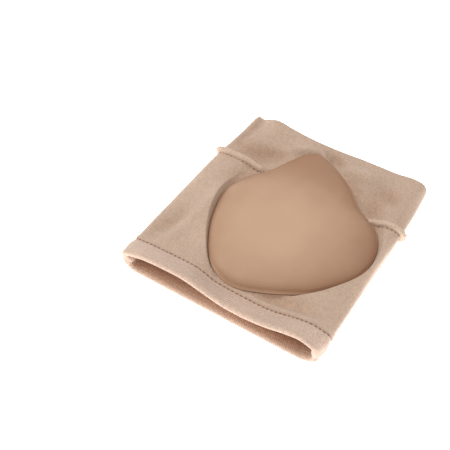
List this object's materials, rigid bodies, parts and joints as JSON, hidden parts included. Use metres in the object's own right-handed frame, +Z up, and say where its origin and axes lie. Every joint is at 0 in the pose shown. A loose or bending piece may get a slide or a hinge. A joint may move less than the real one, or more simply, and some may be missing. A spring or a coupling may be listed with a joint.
{
  "type": "arch support sleeve",
  "caption": "Elastic knit midfoot sleeve turned inside out and lying flat, with a turned hem, a doubled cuff, an overlocked seam and a domed gel arch cushion.",
  "frame": {"origin": "middle of the bounding box at the floor it lies on", "axes": "+X across the sleeve to the side where the cushion bulges furthest, +Y along the tube from the open hem to the folded cuff, +Z up, the cushion on top"},
  "size_m": [0.099, 0.1072, 0.0192],
  "materials": {
    "knit": "matte",
    "hem_knit": "matte",
    "seam": "matte",
    "gel": "satin"
  },
  "bodies": {
    "root": {"sleeve_body": "knit", "hem_band": "hem_knit", "cuff": "knit", "seam_ridge": "seam", "gel_pad": "gel"}
  },
  "joints": []
}
